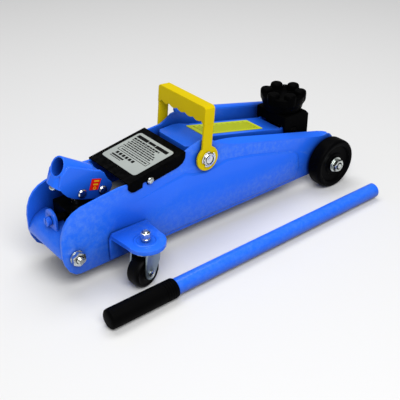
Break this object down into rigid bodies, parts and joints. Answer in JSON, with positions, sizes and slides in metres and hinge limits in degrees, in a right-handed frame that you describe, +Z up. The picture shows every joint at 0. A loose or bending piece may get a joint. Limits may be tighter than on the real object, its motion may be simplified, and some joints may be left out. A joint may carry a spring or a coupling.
{
  "type": "car jack",
  "caption": "Low rolling hydraulic floor jack with pivoting lift arm, rotating saddle, pumping handle socket, folding carry handle, castor wheels and a separate pump lever.",
  "frame": {"origin": "centre of the whole footprint, jack and loose lever together, on the floor", "axes": "+X forward to the front wheels and saddle, +Y to the side away from the loose lever, +Z up"},
  "size_m": [0.4426, 0.2292, 0.1726],
  "materials": {
    "blue_paint": "gloss",
    "black_paint": "satin",
    "zinc": "satin",
    "bright_steel": "polished",
    "cast_grey": "satin",
    "yellow_plastic": "satin",
    "wheel_black": "satin",
    "caster_tread": "matte",
    "grip_foam": "matte",
    "silver_label": "satin",
    "lime_label": "satin",
    "red_label": "satin"
  },
  "bodies": {
    "frame": {"side_plate_near": "blue_paint", "side_plate_far": "blue_paint", "rear_crossbar": "blue_paint", "tie_bolt": "zinc", "tie_nut_near": "zinc", "tie_nut_far": "zinc", "front_axle": "zinc", "axle_washer_near": "zinc", "axle_washer_far": "zinc", "axle_nut_near": "zinc", "axle_nut_far": "zinc", "cover": "black_paint", "cover_label": "silver_label", "cover_screw_near": "zinc", "cover_screw_far": "zinc", "pump_block": "black_paint", "cylinder": "cast_grey", "socket_pivot_pin": "bright_steel", "pivot_shaft": "bright_steel", "pivot_ring_near": "bright_steel", "pivot_ring_far": "bright_steel", "caster_bracket_near": "blue_paint", "caster_bracket_far": "blue_paint", "caster_bolt_near": "zinc", "caster_bolt_far": "zinc", "caster_nut_near": "zinc", "caster_nut_far": "zinc", "link_stub_near": "bright_steel", "link_stub_far": "bright_steel"},
    "lift_arm": {"lift_arm": "blue_paint", "arm_label": "lime_label", "ram_roller": "bright_steel", "saddle_pin": "bright_steel"},
    "saddle_bracket": {"saddle_bracket": "black_paint", "link_pin": "bright_steel"},
    "saddle": {"saddle": "black_paint"},
    "link_near": {"link_rod_near": "zinc"},
    "link_far": {"link_rod_far": "zinc"},
    "ram": {"ram": "bright_steel"},
    "handle_socket": {"handle_socket": "blue_paint", "socket_roller_pin": "bright_steel", "socket_clamp_bolt": "zinc", "socket_label": "red_label"},
    "pump_plunger": {"pump_plunger": "bright_steel"},
    "release_valve": {"release_valve": "blue_paint"},
    "carry_handle": {"carry_handle": "yellow_plastic"},
    "front_wheel_near": {"front_wheel_near": "wheel_black"},
    "front_wheel_far": {"front_wheel_far": "wheel_black"},
    "caster_near": {"caster_fork_near": "zinc", "caster_axle_near": "zinc"},
    "caster_far": {"caster_fork_far": "zinc", "caster_axle_far": "zinc"},
    "caster_wheel_near": {"caster_wheel_near": "caster_tread"},
    "caster_wheel_far": {"caster_wheel_far": "caster_tread"},
    "lever": {"lever_tube": "blue_paint", "lever_grip": "grip_foam"}
  },
  "joints": [
    {"name": "arm_lift", "type": "hinge", "parent": "frame", "child": "lift_arm", "pos_m": [-0.02284, 0.01562, 0.1063], "axis": [0, -1, 0], "range_deg": [0, 63]},
    {"name": "bracket_level", "type": "hinge", "parent": "lift_arm", "child": "saddle_bracket", "pos_m": [0.13716, 0.01562, 0.086], "axis": [0, -1, 0], "range_deg": [-63, 0]},
    {"name": "saddle_spin", "type": "hinge", "parent": "saddle_bracket", "child": "saddle", "pos_m": [0.14166, 0.01562, 0.12], "axis": [0, 0, 1], "continuous": true},
    {"name": "link_swing_near", "type": "hinge", "parent": "frame", "child": "link_near", "pos_m": [-0.01284, 0.00072, 0.0803], "axis": [0, -1, 0], "range_deg": [0, 63]},
    {"name": "link_swing_far", "type": "hinge", "parent": "frame", "child": "link_far", "pos_m": [-0.01284, 0.03052, 0.0803], "axis": [0, -1, 0], "range_deg": [0, 63]},
    {"name": "ram_stroke", "type": "slide", "parent": "frame", "child": "ram", "axis": [1, 0, 0], "range_m": [0, 0.046]},
    {"name": "socket_swing", "type": "hinge", "parent": "frame", "child": "handle_socket", "pos_m": [-0.15004, 0.01562, 0.0969], "axis": [0, 1, 0], "range_deg": [0, 25]},
    {"name": "plunger_stroke", "type": "slide", "parent": "frame", "child": "pump_plunger", "axis": [0, 0, 1], "range_m": [0, 0.0107]},
    {"name": "release_turn", "type": "hinge", "parent": "frame", "child": "release_valve", "pos_m": [-0.20284, 0.01562, 0.0735], "axis": [1, 0, 0], "range_deg": [0, 180]},
    {"name": "handle_fold", "type": "hinge", "parent": "frame", "child": "carry_handle", "pos_m": [-0.02284, 0.01562, 0.1063], "axis": [0, -1, 0], "range_deg": [0, 60]},
    {"name": "front_wheel_near_spin", "type": "hinge", "parent": "frame", "child": "front_wheel_near", "pos_m": [0.18716, -0.03578, 0.03425], "axis": [0, 1, 0], "continuous": true},
    {"name": "front_wheel_far_spin", "type": "hinge", "parent": "frame", "child": "front_wheel_far", "pos_m": [0.18716, 0.06702, 0.03425], "axis": [0, 1, 0], "continuous": true},
    {"name": "caster_near_swivel", "type": "hinge", "parent": "frame", "child": "caster_near", "pos_m": [-0.13664, -0.06039, 0.05], "axis": [0, 0, 1], "continuous": true},
    {"name": "caster_far_swivel", "type": "hinge", "parent": "frame", "child": "caster_far", "pos_m": [-0.13664, 0.09162, 0.05], "axis": [0, 0, 1], "continuous": true},
    {"name": "caster_wheel_near_spin", "type": "hinge", "parent": "caster_near", "child": "caster_wheel_near", "pos_m": [-0.14346, -0.06196, 0.0195], "axis": [-0.225, 0.9744, 0], "continuous": true},
    {"name": "caster_wheel_far_spin", "type": "hinge", "parent": "caster_far", "child": "caster_wheel_far", "pos_m": [-0.14364, 0.09162, 0.0195], "axis": [0, 1, 0], "continuous": true},
    {"name": "lever_pickup", "type": "slide", "parent": "frame", "child": "lever", "axis": [0, 0, 1], "range_m": [0, 0.1]}
  ],
  "couplings": [
    {"joint": "bracket_level", "follows": "arm_lift", "ratio": -1},
    {"joint": "link_swing_near", "follows": "arm_lift", "ratio": 1},
    {"joint": "link_swing_far", "follows": "arm_lift", "ratio": 1},
    {"joint": "ram_stroke", "follows": "arm_lift", "m_per_rad": 0.0418},
    {"joint": "plunger_stroke", "follows": "socket_swing", "m_per_rad": 0.0245}
  ]
}
